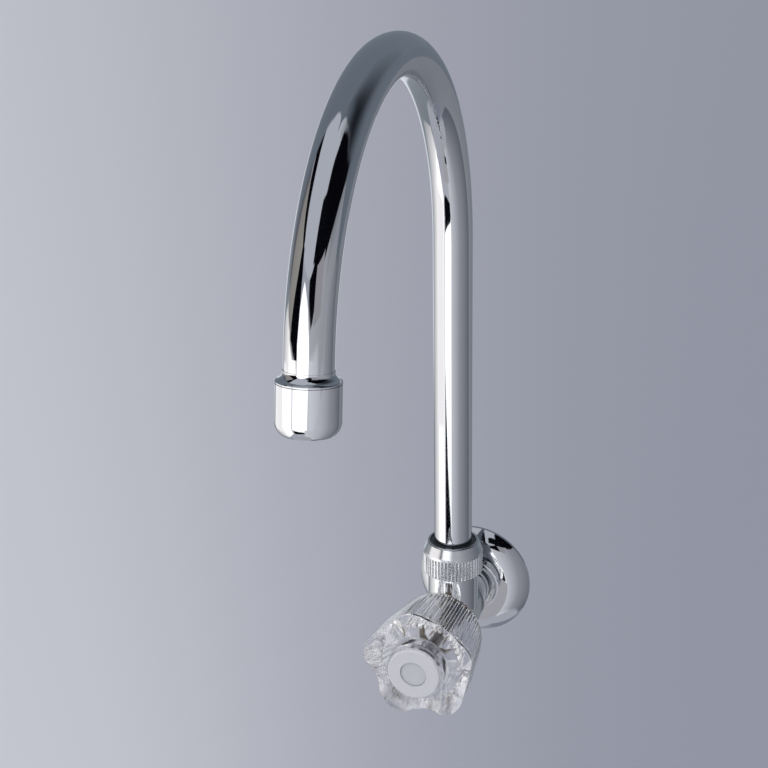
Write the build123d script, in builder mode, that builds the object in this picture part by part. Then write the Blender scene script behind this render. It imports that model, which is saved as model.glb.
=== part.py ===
from build123d import *
import os
from math import cos, radians, sin, tan

os.makedirs("parts", exist_ok=True)

# Wall-mounted kitchen faucet: one cold tap with a clear petal knob and a swivelling gooseneck.
#
# The wall is the plane y = 0, +Z is up, and the faucet reaches out from the wall along -Y.
# The origin is on the wall at the centre of the inlet, so the valve's axis is the Y axis.
# Sizes are in millimetres. "out" is a distance from the wall along -Y, "height" is along +Z
# above the valve's axis, and "along" is a distance down the outlet's own axis.

# ------------------------------------------------------------------ clearances between pieces
thread_gap = 0.05          # radial, between mating threads
running_gap = 0.05         # radial, where one piece turns or slides in another
axial_gap = 0.05           # between end faces that turn on each other
socket_gap = 0.03          # radial, where a piece is brazed, pressed or snapped in
flange_gap = 0.08          # radial, cover flange on its seat

# ------------------------------------------------------------------------------- wall side
inlet_thread_radius = 10.48    # G 1/2 male thread
inlet_length = 14.0            # thread that goes into the wall
inlet_bore_radius = 6.5
flange_radius = 30.2
flange_rim = 1.5               # straight edge of the flange at the wall
flange_wall = 1.5
flange_height = 9.4
collar_radius = 13.5
collar_recess_radius = 12.2
collar_recess_depth = 3.2
flange_web = 4.2               # hub inside the flange
flange_crown_width = 2.2       # rounded crown between the collar and the dome
flange_crown_drop = 1.0
flange_crown_bulge = 0.35
flange_dome_bulge = 2.1

# ------------------------------------------------------------------------------ cast body
riser_out = 40.0               # riser's axis from the wall
neck_radius = 11.1
flange_seat_radius = 10.75     # turned seat between the thread and the neck
barrel_radius = 13.2
barrel_front_length = 13.0     # barrel ahead of the riser's axis
barrel_back_length = 14.0      # barrel behind it
boss_radius = 12.7
boss_height = 24.5
spout_thread_radius = 13.0
body_top = 35.0
foot_bore_radius = 10.9
foot_bore_floor = 13.0
riser_passage_radius = 6.2
chamber_radius = 9.2
chamber_back_length = 8.5      # chamber behind the riser's axis
body_edge = 0.6

# ------------------------------------------------------------------------------ valve seat
seat_hole_radius = 4.5
seat_thread_radius = 7.0
seat_thread_length = 3.3
seat_flange_radius = 8.4
seat_flange = 1.0
seat_crown = 0.7
seat_crown_width = 1.1

# --------------------------------------------------------------------- valve disc, lifts out
disc_radius = 7.2
disc_thickness = 3.0
disc_grip = 2.3                # how much of the disc's thickness the holder cups
holder_radius = 8.2
holder_plate = 1.8
holder_stem_radius = 2.5
holder_stem_length = 6.5
disc_screw_radius = 1.5
disc_screw_head_radius = 3.2
disc_screw_head = 1.3
disc_screw_length = 5.0
disc_screw_slot = 0.8

# --------------------------------------------------------------------------------- bonnet
valve_lift = 5.0               # travel from closed to open
stop_gap = 0.2                 # left between the spindle's shoulder and the bonnet at full lift
bonnet_thread_radius = 10.0
bonnet_thread_length = 6.5
gasket_thickness = 1.0
bonnet_hex = 24.0              # across flats
bonnet_hex_thickness = 4.0
bonnet_neck_radius = 8.0
spindle_thread_radius = 6.0
stuffing_radius = 6.2
stuffing_depth = 6.0
bonnet_web = 2.0               # wall between the spindle's thread and the stuffing box

# ------------------------------------------------------------------------- spindle and gland
spindle_radius = 4.0
spindle_thread_length = 14.0
spindle_runout = 1.0
stem_bore_room = 1.0           # beyond the holder's stem, and beyond the knob screw's end
spline_length = 9.0
spline_count = 12
spline_depth = 0.45
spline_slot = 0.8
packing_height = 3.4
follower_height = 1.0
packing_nut_hex = 19.0
packing_nut_height = 6.6
packing_nut_top = 1.5

# ----------------------------------------------------------------------------------- knob
knob_back_gap = 2.3            # between the bonnet's hexagon and the knob's back edge
knob_back_radius = 21.3        # the back edge is round, and the petals grow out of it
skirt_wall = 2.0               # at the back edge
petal_count = 5
petal_turn = -49.0             # direction of the first petal, from +X towards +Z
petal_start_length = 11.7      # from the back edge to the first lobed section
petal_start_radius = 25.2      # crest of a petal there,
hollow_start_radius = 23.5     # and the floor of the hollow between two petals
petal_mid_length = 23.7
petal_mid_radius = 27.2
hollow_mid_radius = 24.7
petal_length = 37.9            # back edge to the petals' front edge
petal_trim = 1.1               # length of the lobed form ahead of it, cut off by the front face
petal_radius = 28.8
hollow_radius = 24.6
face_length = 34.7             # back edge to the front face at the foot of the cap's boss
face_bulge = 0.7
valley_radius = 13.5           # round valley in the front face between two petals
valley_depth = 0.2             # below the foot of the boss
boss_bevel = 0.8
cap_boss_radius = 14.2
cap_boss_length = 42.3
spindle_reach = 19.7           # how far the spindle's end stands inside the knob
front_wall = 3.3               # between the valleys and the cavity
cavity_front_radius = 21.8
rib_count = 40
rib_width = 0.7                # at the tips where the ribs begin, widening with their draft
rib_draft = 11.0               # of each flank, in degrees
rib_height = 1.6
rib_root = 0.9                 # how far the ribs are sunk in the skirt's wall
rib_start = 1.5                # plain band at the back edge before the ribs begin
hub_radius = 8.4
hub_back_gap = 1.0             # between the hub and the packing nut when the tap is shut
knob_insert_radius = 6.0
insert_end_wall = 2.0
knob_web = 4.0
screw_well_radius = 5.0
cap_bore_radius = 8.2
cap_bore_room = 0.6            # between the cap's spigot and the floor of its bore

# -------------------------------------------------------------------- knob screw and index
knob_screw_radius = 2.0
knob_screw_length = 13.0
knob_screw_head_radius = 3.7
knob_screw_head = 2.6
knob_screw_cross = 4.6         # cross recess: across its arms, their width and their depth
knob_screw_cross_width = 1.0
knob_screw_cross_depth = 1.6
screw_hole_gap = 0.2
cap_radius = 13.0
cap_thickness = 2.7
cap_spigot_length = 6.0
cap_spigot_wall = 1.2
cap_web = 1.0
cap_edge = 0.5
button_radius = 6.6
button_thickness = 1.5
button_recess = 0.9            # the button's face lies this far below the cap's
button_edge = 0.3

# -------------------------------------------------------------------------- spout and nut
tube_radius = 9.5
tube_wall = 1.0
bend_start_height = 199.8      # top of the straight riser
bend_radius = 103.4
bend_angle = 171.8
outlet_straight = 8.8          # straight tube after the bend, down to the outlet's rim
spout_rest_turn = 2.8          # the spout rests turned this much towards +X
foot_length = 22.0             # brazed foot, below its collar
foot_collar = 1.9
foot_collar_radius = 12.8
foot_bore = 6.8
foot_edge = 0.5
tube_socket_depth = 8.0
o_ring_section = 2.0
o_ring_corner = 0.5            # bevel that stands for the squeezed ring's round corners
o_ring_squeeze = 0.5           # how far the groove is shallower than the ring
o_ring_room = 0.4              # how far the groove is longer than the ring
o_ring_first = 3.0             # from the foot's lower end
o_ring_pitch = 6.0
washer_thickness = 1.0
bush_flange = 1.45
bush_neck = 1.7
bush_neck_radius = 11.55
nut_radius = 15.0
nut_skirt = 10.0               # how far the nut reaches down past the body's top
nut_opening_radius = 11.65
nut_lip = 2.5
nut_edge = 0.3
nut_shoulder = 5.0             # height and width of the coned shoulder over the plain band
nut_shoulder_width = 1.9
nut_crown = 0.6                # round between the shoulder and the top face
knurl_height = 10.4
knurl_count = 50
knurl_depth = 0.65
knurl_groove = 1.35            # width of a groove at the nut's surface

# ------------------------------------------------------------------------ outlet and aerator
outlet_radius = 12.5
flare_length = 3.7             # hollow flare, from the tube to the rim's upper edge
flare_bulge = 0.8
flare_lip = 0.15
outlet_edge = 0.3
outlet_rim = 0.75              # from the flare's end to the seam
aerator_thread_radius = 11.0
aerator_thread_length = 7.2
tube_end_depth = 2.0           # how far the tube reaches past the outlet's rim
aerator_length = 19.0
aerator_taper = 4.4            # length and width of the rounded lower end
aerator_taper_width = 2.3
aerator_taper_bulge = 0.5
aerator_lip = 2.2
aerator_mouth_radius = 9.4
aerator_cavity_radius = 10.6
aerator_seam = 0.3
aerator_gasket_thickness = 1.6
aerator_gasket_lip = 0.2       # how far the gasket's bore stands back from the tube's
insert_thickness = 3.6
insert_hole_radius = 1.0       # six-sided holes, to their corners
insert_hole_pitch = 3.6        # between rings of holes
insert_hole_rings = 2
insert_ring_holes = 6          # holes in the first ring; each further ring has as many more
screen_thickness = 0.8
screen_hole = 1.4
screen_pitch = 2.1
screen_hole_rows = 7


def across_barrel(out):
    """Plane square to the valve's axis at a distance from the wall; it faces the room."""
    return Plane((0, -out, 0), x_dir=(1, 0, 0), z_dir=(0, -1, 0))


def across_riser(height):
    """Plane square to the riser's axis at a height; it faces up."""
    return Plane((0, -riser_out, height), x_dir=(1, 0, 0), z_dir=(0, 0, 1))


def across_outlet(along):
    """Plane square to the outlet's axis, facing the way the water leaves."""
    return Plane(outlet_point + outlet_way * along, x_dir=outlet_side, z_dir=outlet_way)


def turned(plane, *corners, mode=Mode.ADD):
    """Turn a closed half section about its plane's y axis; corners are (radius, station)."""
    with BuildSketch(plane) as section:
        with BuildLine():
            Polyline(*corners, close=True)
        make_face()
    revolve(section.sketch, axis=Axis(plane.origin, plane.y_dir), mode=mode)


def ring(plane, inner, outer, start, end, mode=Mode.ADD):
    """Turn a plain ring, or a disc where inner is zero, between two stations."""
    turned(plane, (inner, start), (outer, start), (outer, end), (inner, end), mode=mode)


def lobed_outline(crest, hollow):
    """Points of a petalled outline, four to a petal; the radius swings as a cosine."""
    points = []
    for step in range(4 * petal_count):
        share = (1 + cos(radians(90 * step))) / 2
        way = radians(petal_turn + 90 * step / petal_count)
        radius = hollow + (crest - hollow) * share
        points.append((radius * cos(way), radius * sin(way)))
    return points


def finish(piece, name):
    """Label a finished piece and write it."""
    piece.part.label = name
    export_step(piece.part, f"parts/{name}.step")


# Section planes: local x is the radius, local y runs along the piece's axis.
barrel_plane = Plane((0, 0, 0), x_dir=(1, 0, 0), z_dir=(0, 0, -1))
riser_plane = Plane((0, -riser_out, 0), x_dir=(1, 0, 0), z_dir=(0, -1, 0))

# The spout lies in an upright plane through the riser's axis, turned to its rest position.
turn = radians(spout_rest_turn)
spout_plane = Plane(
    (0, -riser_out, 0),
    x_dir=(sin(turn), -cos(turn), 0),
    z_dir=(-cos(turn), -sin(turn), 0),
)
bend = radians(bend_angle)
bend_end = (bend_radius * (1 - cos(bend)), bend_start_height + bend_radius * sin(bend))
outlet_end = (bend_end[0] + outlet_straight * sin(bend), bend_end[1] + outlet_straight * cos(bend))
outlet_point = spout_plane.from_local_coords(outlet_end)
outlet_way = spout_plane.x_dir * sin(bend) + spout_plane.y_dir * cos(bend)
outlet_side = spout_plane.x_dir * -cos(bend) + spout_plane.y_dir * sin(bend)
outlet_plane = Plane(outlet_point, x_dir=outlet_side, z_dir=outlet_side.cross(outlet_way))

# Stations worked out once and shared by the pieces that meet there.
barrel_front = riser_out + barrel_front_length
chamber_back = riser_out - chamber_back_length
bonnet_back = barrel_front - bonnet_thread_length
recess_floor = flange_height - collar_recess_depth
gasket_out = barrel_front + gasket_thickness
bonnet_hex_front = gasket_out + bonnet_hex_thickness
crown_front = chamber_back + seat_flange + seat_crown
disc_back = crown_front + axial_gap
disc_front = disc_back + disc_thickness
holder_back = disc_front - disc_grip
holder_front = disc_front + holder_plate
spindle_back = holder_front + axial_gap
spindle_thread_end = spindle_back + spindle_thread_length
spindle_shoulder = spindle_thread_end + spindle_runout
web_back = spindle_shoulder + valve_lift + stop_gap
stuffing_floor = web_back + bonnet_web
bonnet_end = stuffing_floor + stuffing_depth
packing_front = stuffing_floor + packing_height
follower_front = packing_front + follower_height
packing_nut_back = bonnet_end + packing_nut_top - packing_nut_height
packing_nut_front = bonnet_end + packing_nut_top
knob_back = bonnet_hex_front + knob_back_gap
petal_front = knob_back + petal_length
face_out = knob_back + face_length
cap_boss_front = knob_back + cap_boss_length
spindle_end = knob_back + spindle_reach
insert_front = spindle_end + insert_end_wall
screw_seat = insert_front + knob_web
hub_back = packing_nut_front + hub_back_gap
washer_top = body_top + washer_thickness
collar_bottom = washer_top + axial_gap
collar_top = collar_bottom + foot_collar
bush_bottom = collar_top + axial_gap
lip_bottom = bush_bottom + bush_flange
nut_bottom = body_top - nut_skirt
nut_top = lip_bottom + nut_lip
foot_bottom = collar_bottom - foot_length
tube_bottom = collar_top - tube_socket_depth

# --------------------------------------------------------------------------- wall flange
with BuildPart() as wall_flange:
    inner_radius = flange_radius - flange_wall
    with BuildSketch(barrel_plane):
        with BuildLine():
            foot = (flange_radius, 0)
            edge = (flange_radius, flange_rim)
            crown_radius = collar_radius + flange_crown_width
            crown = (crown_radius, flange_height - flange_crown_drop)
            neck = (collar_radius, flange_height)
            Line((inner_radius, 0), foot)
            Line(foot, edge)
            SagittaArc(edge, crown, -flange_dome_bulge)
            SagittaArc(crown, neck, flange_crown_bulge)
            Line(neck, (collar_recess_radius, flange_height))
            Line((collar_recess_radius, flange_height), (collar_recess_radius, recess_floor))
            hub_bore = flange_seat_radius + flange_gap
            hub_foot = recess_floor - flange_web
            Line((collar_recess_radius, recess_floor), (hub_bore, recess_floor))
            Line((hub_bore, recess_floor), (hub_bore, hub_foot))
            Line((hub_bore, hub_foot), (collar_radius, hub_foot))
            inside_crown = (crown_radius, flange_height - flange_crown_drop - flange_wall)
            Line((collar_radius, hub_foot), inside_crown)
            SagittaArc(inside_crown, (inner_radius, 0), flange_dome_bulge)
        make_face()
    revolve(axis=Axis(barrel_plane.origin, barrel_plane.y_dir))
finish(wall_flange, "wall_flange")

# ---------------------------------------------------------------- body, one brass casting
with BuildPart() as body:
    barrel_back = riser_out - barrel_back_length
    turned(
        barrel_plane,
        (0, -inlet_length),
        (inlet_thread_radius - body_edge, -inlet_length),
        (inlet_thread_radius, -inlet_length + body_edge),
        (inlet_thread_radius, 0),
        (flange_seat_radius, 0),
        (flange_seat_radius, recess_floor),
        (neck_radius, recess_floor),
        (neck_radius, barrel_back),
        (barrel_radius, barrel_back + barrel_radius - neck_radius),
        (barrel_radius, barrel_front - body_edge),
        (barrel_radius - body_edge, barrel_front),
        (0, barrel_front),
    )
    turned(
        riser_plane,
        (0, 0),
        (boss_radius, 0),
        (boss_radius, boss_height),
        (spout_thread_radius, boss_height),
        (spout_thread_radius, body_top - body_edge),
        (spout_thread_radius - body_edge, body_top),
        (0, body_top),
    )
    seat_back = chamber_back - seat_thread_length
    ring(barrel_plane, 0, inlet_bore_radius, -inlet_length, seat_back, mode=Mode.SUBTRACT)
    ring(barrel_plane, 0, seat_thread_radius, seat_back, chamber_back, mode=Mode.SUBTRACT)
    ring(barrel_plane, 0, chamber_radius, chamber_back, bonnet_back, mode=Mode.SUBTRACT)
    ring(barrel_plane, 0, bonnet_thread_radius, bonnet_back, barrel_front, mode=Mode.SUBTRACT)
    ring(riser_plane, 0, riser_passage_radius, 0, foot_bore_floor, mode=Mode.SUBTRACT)
    ring(riser_plane, 0, foot_bore_radius, foot_bore_floor, body_top, mode=Mode.SUBTRACT)
finish(body, "body")

# ------------------------------------------------------------------- renewable valve seat
with BuildPart() as valve_seat:
    seat_face = chamber_back + seat_flange
    turned(
        barrel_plane,
        (seat_hole_radius, seat_back),
        (seat_thread_radius - thread_gap, seat_back),
        (seat_thread_radius - thread_gap, chamber_back),
        (seat_flange_radius, chamber_back),
        (seat_flange_radius, seat_face),
        (seat_hole_radius + seat_crown_width, seat_face),
        (seat_hole_radius + seat_crown_width / 2, crown_front),
        (seat_hole_radius, crown_front),
    )
finish(valve_seat, "valve_seat")

# ----------------------------------------------- rubber disc, its brass holder and screw
with BuildPart() as disc_washer:
    ring(barrel_plane, disc_screw_radius + running_gap, disc_radius, disc_back, disc_front)
finish(disc_washer, "disc_washer")

with BuildPart() as disc_holder:
    stem_end = holder_front + holder_stem_length
    turned(
        barrel_plane,
        (0, disc_front),
        (disc_radius + running_gap, disc_front),
        (disc_radius + running_gap, holder_back),
        (holder_radius, holder_back),
        (holder_radius, holder_front),
        (holder_stem_radius, holder_front),
        (holder_stem_radius, stem_end),
        (0, stem_end),
    )
    screw_depth = disc_back + disc_screw_length + axial_gap
    ring(barrel_plane, 0, disc_screw_radius + thread_gap, disc_front, screw_depth,
         mode=Mode.SUBTRACT)
finish(disc_holder, "disc_holder")

with BuildPart() as disc_screw:
    head_back = disc_back - disc_screw_head
    turned(
        barrel_plane,
        (0, head_back),
        (disc_screw_head_radius - disc_screw_head / 2, head_back),
        (disc_screw_head_radius, disc_back - disc_screw_head / 2),
        (disc_screw_head_radius, disc_back),
        (disc_screw_radius, disc_back),
        (disc_screw_radius, disc_back + disc_screw_length),
        (0, disc_back + disc_screw_length),
    )
    with BuildSketch(across_barrel(head_back)):
        Rectangle(2 * disc_screw_head_radius, disc_screw_slot)
    extrude(amount=disc_screw_head / 2, mode=Mode.SUBTRACT)
finish(disc_screw, "disc_screw")

# ------------------------------------------------------------------------ bonnet and seal
with BuildPart() as bonnet_gasket:
    ring(barrel_plane, bonnet_thread_radius + running_gap, barrel_radius - body_edge,
         barrel_front, gasket_out)
finish(bonnet_gasket, "bonnet_gasket")

with BuildPart() as bonnet:
    ring(barrel_plane, 0, bonnet_thread_radius - thread_gap, bonnet_back, gasket_out)
    with BuildSketch(across_barrel(gasket_out)):
        RegularPolygon(bonnet_hex / 2, 6, major_radius=False)
    extrude(amount=bonnet_hex_thickness)
    ring(barrel_plane, 0, bonnet_neck_radius, bonnet_hex_front, bonnet_end)
    ring(barrel_plane, 0, spindle_thread_radius + thread_gap, bonnet_back, web_back,
         mode=Mode.SUBTRACT)
    ring(barrel_plane, 0, spindle_radius + running_gap, web_back, stuffing_floor,
         mode=Mode.SUBTRACT)
    ring(barrel_plane, 0, stuffing_radius, stuffing_floor, bonnet_end, mode=Mode.SUBTRACT)
finish(bonnet, "bonnet")

with BuildPart() as stem_packing:
    ring(barrel_plane, spindle_radius + running_gap, stuffing_radius - socket_gap,
         stuffing_floor, packing_front)
finish(stem_packing, "stem_packing")

with BuildPart() as packing_follower:
    ring(barrel_plane, spindle_radius + 2 * running_gap, stuffing_radius - running_gap,
         packing_front, follower_front)
finish(packing_follower, "packing_follower")

with BuildPart() as packing_nut:
    with BuildSketch(across_barrel(packing_nut_back)):
        RegularPolygon(packing_nut_hex / 2, 6, major_radius=False)
    extrude(amount=packing_nut_height)
    nose_radius = stuffing_radius - 2 * running_gap
    ring(barrel_plane, 0, bonnet_neck_radius + thread_gap, packing_nut_back, bonnet_end,
         mode=Mode.SUBTRACT)
    ring(barrel_plane, 0, nose_radius, follower_front, bonnet_end)
    ring(barrel_plane, 0, spindle_radius + 2 * running_gap, packing_nut_back, packing_nut_front,
         mode=Mode.SUBTRACT)
finish(packing_nut, "packing_nut")

# ------------------------------------------------------------------------------- spindle
with BuildPart() as spindle:
    turned(
        barrel_plane,
        (0, spindle_back),
        (spindle_thread_radius, spindle_back),
        (spindle_thread_radius, spindle_thread_end),
        (spindle_radius, spindle_shoulder),
        (spindle_radius, spindle_end),
        (0, spindle_end),
    )
    with BuildSketch(across_barrel(spindle_end)):
        with PolarLocations(spindle_radius, spline_count):
            Rectangle(2 * spline_depth, spline_slot)
    extrude(amount=-spline_length, mode=Mode.SUBTRACT)
    stem_bore_depth = holder_front + holder_stem_length + stem_bore_room
    ring(barrel_plane, 0, holder_stem_radius + running_gap, spindle_back, stem_bore_depth,
         mode=Mode.SUBTRACT)
    tapped_end = screw_seat - knob_screw_length - stem_bore_room
    ring(barrel_plane, 0, knob_screw_radius + thread_gap, tapped_end, spindle_end,
         mode=Mode.SUBTRACT)
finish(spindle, "spindle")

# ------------------------------------------------------------- knob, clear moulded acrylic
cavity_back_radius = knob_back_radius - skirt_wall
valley_out = face_out - valley_depth
cavity_front = valley_out - front_wall

# The ribs, as blades that reach well past the skirt and are trimmed to a thin conical ring.
with BuildPart() as knob_ribs:
    blade = cavity_back_radius
    blade_root = rib_width + 2 * blade * tan(radians(rib_draft))
    with BuildSketch(across_barrel(knob_back + rib_start)):
        with PolarLocations(cavity_back_radius - rib_height, rib_count):
            Polygon(
                (0, -rib_width / 2),
                (blade, -blade_root / 2),
                (blade, blade_root / 2),
                (0, rib_width / 2),
                align=None,
            )
    extrude(amount=cavity_front - knob_back - rib_start)
    turned(
        barrel_plane,
        (cavity_back_radius - rib_height, knob_back),
        (cavity_back_radius + rib_root, knob_back),
        (cavity_front_radius + rib_root, cavity_front),
        (cavity_front_radius - rib_height, cavity_front),
        mode=Mode.INTERSECT,
    )

with BuildPart() as knob:
    # The skirt grows from a round back edge into five petals.
    sections = (
        (0, knob_back_radius, knob_back_radius),
        (petal_start_length, petal_start_radius, hollow_start_radius),
        (petal_mid_length, petal_mid_radius, hollow_mid_radius),
        (petal_length + petal_trim, petal_radius, hollow_radius),
    )
    for length, crest, hollow in sections:
        with BuildSketch(across_barrel(knob_back + length)):
            with BuildLine():
                Spline(*lobed_outline(crest, hollow), periodic=True)
            make_face()
    loft()
    # The front face falls from the petals to the foot of the boss.
    boss_foot = (cap_boss_radius + boss_bevel, face_out)
    with BuildSketch(barrel_plane):
        with BuildLine():
            face = SagittaArc(boss_foot, (petal_radius, petal_front), face_bulge)
            Polyline(
                face @ 1,
                (2 * petal_radius, petal_front),
                (2 * petal_radius, face_out + petal_length),
                (0, face_out + petal_length),
                (0, face_out),
                boss_foot,
            )
        make_face()
    revolve(axis=Axis(barrel_plane.origin, barrel_plane.y_dir), mode=Mode.SUBTRACT)
    for petal in range(petal_count):
        way = radians(petal_turn + (petal + 0.5) * 360 / petal_count)
        outward = Vector(cos(way), 0, sin(way))
        valley_middle = Vector(0, -valley_out - valley_radius, 0) + outward * cap_boss_radius
        with BuildSketch(Plane(valley_middle, z_dir=outward)):
            Circle(valley_radius)
        extrude(amount=petal_radius, mode=Mode.SUBTRACT)
    turned(
        barrel_plane,
        (0, cavity_front),
        (cap_boss_radius + boss_bevel, cavity_front),
        boss_foot,
        (cap_boss_radius, face_out + boss_bevel),
        (cap_boss_radius, cap_boss_front),
        (0, cap_boss_front),
    )
    # The cavity round the hub, and the stepped bore for the insert, the screw and the cap.
    turned(
        barrel_plane,
        (0, knob_back),
        (cavity_back_radius, knob_back),
        (cavity_front_radius, cavity_front),
        (hub_radius, cavity_front),
        (hub_radius, hub_back),
        (0, hub_back),
        mode=Mode.SUBTRACT,
    )
    cap_bore_floor = cap_boss_front - cap_spigot_length - cap_bore_room
    ring(barrel_plane, 0, knob_insert_radius, hub_back, insert_front, mode=Mode.SUBTRACT)
    ring(barrel_plane, 0, knob_screw_radius + screw_hole_gap, insert_front, screw_seat,
         mode=Mode.SUBTRACT)
    ring(barrel_plane, 0, screw_well_radius, screw_seat, cap_bore_floor, mode=Mode.SUBTRACT)
    ring(barrel_plane, 0, cap_bore_radius, cap_bore_floor, cap_boss_front, mode=Mode.SUBTRACT)
    add(knob_ribs.part)
finish(knob, "knob")

with BuildPart() as knob_insert:
    insert_radius = knob_insert_radius - socket_gap
    ring(barrel_plane, spindle_radius + socket_gap, insert_radius, hub_back, spindle_end)
    ring(barrel_plane, knob_screw_radius + screw_hole_gap, insert_radius, spindle_end,
         insert_front)
finish(knob_insert, "knob_insert")

with BuildPart() as knob_screw:
    turned(
        barrel_plane,
        (0, screw_seat - knob_screw_length),
        (knob_screw_radius, screw_seat - knob_screw_length),
        (knob_screw_radius, screw_seat),
        (knob_screw_head_radius, screw_seat),
        (knob_screw_head_radius, screw_seat + knob_screw_head / 2),
        (knob_screw_head_radius - knob_screw_head / 2, screw_seat + knob_screw_head),
        (0, screw_seat + knob_screw_head),
    )
    with BuildSketch(across_barrel(screw_seat + knob_screw_head)):
        Rectangle(knob_screw_cross_width, knob_screw_cross)
        Rectangle(knob_screw_cross, knob_screw_cross_width)
    extrude(amount=-knob_screw_cross_depth, mode=Mode.SUBTRACT)
finish(knob_screw, "knob_screw")

with BuildPart() as index_cap:
    cap_front = cap_boss_front + cap_thickness
    spigot_radius = cap_bore_radius - socket_gap
    button_floor = cap_front - button_recess - button_thickness
    turned(
        barrel_plane,
        (0, button_floor),
        (button_radius + socket_gap, button_floor),
        (button_radius + socket_gap, cap_front),
        (cap_radius - cap_edge, cap_front),
        (cap_radius, cap_front - cap_edge),
        (cap_radius, cap_boss_front),
        (spigot_radius, cap_boss_front),
        (spigot_radius, cap_boss_front - cap_spigot_length),
        (spigot_radius - cap_spigot_wall, cap_boss_front - cap_spigot_length),
        (spigot_radius - cap_spigot_wall, cap_boss_front - cap_web),
        (0, cap_boss_front - cap_web),
    )
finish(index_cap, "index_cap")

with BuildPart() as index_button:
    turned(
        barrel_plane,
        (0, button_floor),
        (button_radius, button_floor),
        (button_radius, cap_front - button_recess - button_edge),
        (button_radius - button_edge, cap_front - button_recess),
        (0, cap_front - button_recess),
    )
finish(index_button, "index_button")

# ------------------------------------------------------------------------------ gooseneck
with BuildPart() as spout_tube:
    with BuildLine(spout_plane):
        Line((0, tube_bottom), (0, bend_start_height))
        CenterArc((bend_radius, bend_start_height), bend_radius, 180, -bend_angle)
        tube_end = outlet_straight + tube_end_depth
        Line(bend_end, (bend_end[0] + tube_end * sin(bend), bend_end[1] + tube_end * cos(bend)))
    with BuildSketch(across_riser(tube_bottom)):
        Circle(tube_radius)
        Circle(tube_radius - tube_wall, mode=Mode.SUBTRACT)
    sweep()
finish(spout_tube, "spout_tube")

with BuildPart() as spout_foot:
    foot_radius = foot_bore_radius - running_gap
    turned(
        riser_plane,
        (foot_bore, foot_bottom),
        (foot_radius - foot_edge, foot_bottom),
        (foot_radius, foot_bottom + foot_edge),
        (foot_radius, collar_bottom),
        (foot_collar_radius, collar_bottom),
        (foot_collar_radius, collar_top),
        (tube_radius + socket_gap, collar_top),
        (tube_radius + socket_gap, tube_bottom),
        (foot_bore, tube_bottom),
    )
    groove_radius = foot_bore_radius - o_ring_section + o_ring_squeeze
    groove_width = o_ring_section + o_ring_room
    o_ring_heights = [foot_bottom + o_ring_first + i * o_ring_pitch for i in range(2)]
    for height in o_ring_heights:
        ring(riser_plane, groove_radius, foot_radius, height - groove_width / 2,
             height + groove_width / 2, mode=Mode.SUBTRACT)
finish(spout_foot, "spout_foot")

with BuildPart() as spout_o_rings:
    ring_outer = foot_bore_radius - running_gap / 2
    for height in o_ring_heights:
        with BuildSketch(riser_plane):
            with Locations(((groove_radius + ring_outer) / 2, height)):
                section = Rectangle(ring_outer - groove_radius, o_ring_section)
            chamfer(section.vertices(), length=o_ring_corner)
        revolve(axis=Axis(riser_plane.origin, riser_plane.y_dir))
finish(spout_o_rings, "spout_o_rings")

with BuildPart() as thrust_washer:
    ring(riser_plane, foot_bore_radius + running_gap, spout_thread_radius - running_gap,
         body_top, washer_top)
finish(thrust_washer, "thrust_washer")

with BuildPart() as glide_bush:
    bush_bore = tube_radius + 2 * running_gap
    turned(
        riser_plane,
        (bush_bore, bush_bottom),
        (spout_thread_radius - running_gap, bush_bottom),
        (spout_thread_radius - running_gap, lip_bottom),
        (bush_neck_radius, lip_bottom),
        (bush_neck_radius, lip_bottom + bush_neck),
        (bush_bore, lip_bottom + bush_neck),
    )
finish(glide_bush, "glide_bush")

with BuildPart() as spout_nut:
    nut_bore = spout_thread_radius + thread_gap
    with BuildSketch(riser_plane):
        with BuildLine():
            side = Polyline(
                (nut_bore, nut_bottom),
                (nut_radius - nut_edge, nut_bottom),
                (nut_radius, nut_bottom + nut_edge),
                (nut_radius, nut_top - nut_shoulder),
                (nut_radius - nut_shoulder_width, nut_top - nut_crown),
            )
            top_edge = (nut_radius - nut_shoulder_width - nut_crown, nut_top)
            crown_round = TangentArc(side @ 1, top_edge, tangent=side % 1)
            Polyline(
                crown_round @ 1,
                (nut_opening_radius + nut_edge, nut_top),
                (nut_opening_radius, nut_top - nut_edge),
                (nut_opening_radius, lip_bottom),
                (nut_bore, lip_bottom),
                (nut_bore, nut_bottom),
            )
        make_face()
    revolve(axis=Axis(riser_plane.origin, riser_plane.y_dir))
    with BuildSketch(across_riser(nut_bottom)):
        with PolarLocations(nut_radius, knurl_count):
            Polygon((-knurl_depth, 0), (knurl_depth, -knurl_groove), (knurl_depth, knurl_groove),
                    align=None)
    extrude(amount=knurl_height, mode=Mode.SUBTRACT)
finish(spout_nut, "spout_nut")

# --------------------------------------------------------------------- outlet and aerator
with BuildPart() as outlet_collar:
    with BuildSketch(outlet_plane):
        with BuildLine():
            collar_bore = tube_radius + socket_gap
            start = (collar_bore, -flare_length)
            lip = (collar_bore + flare_lip, -flare_length)
            rim_edge = (outlet_radius - outlet_edge, 0)
            Line(start, lip)
            SagittaArc(lip, rim_edge, flare_bulge)
            Polyline(
                rim_edge,
                (outlet_radius, outlet_edge),
                (outlet_radius, outlet_rim),
                (aerator_thread_radius, outlet_rim),
                (aerator_thread_radius, outlet_rim + aerator_thread_length),
                (tube_radius - tube_wall, outlet_rim + aerator_thread_length),
                (tube_radius - tube_wall, tube_end_depth),
                (collar_bore, tube_end_depth),
                start,
            )
        make_face()
    revolve(axis=Axis(outlet_plane.origin, outlet_plane.y_dir))
finish(outlet_collar, "outlet_collar")

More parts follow.
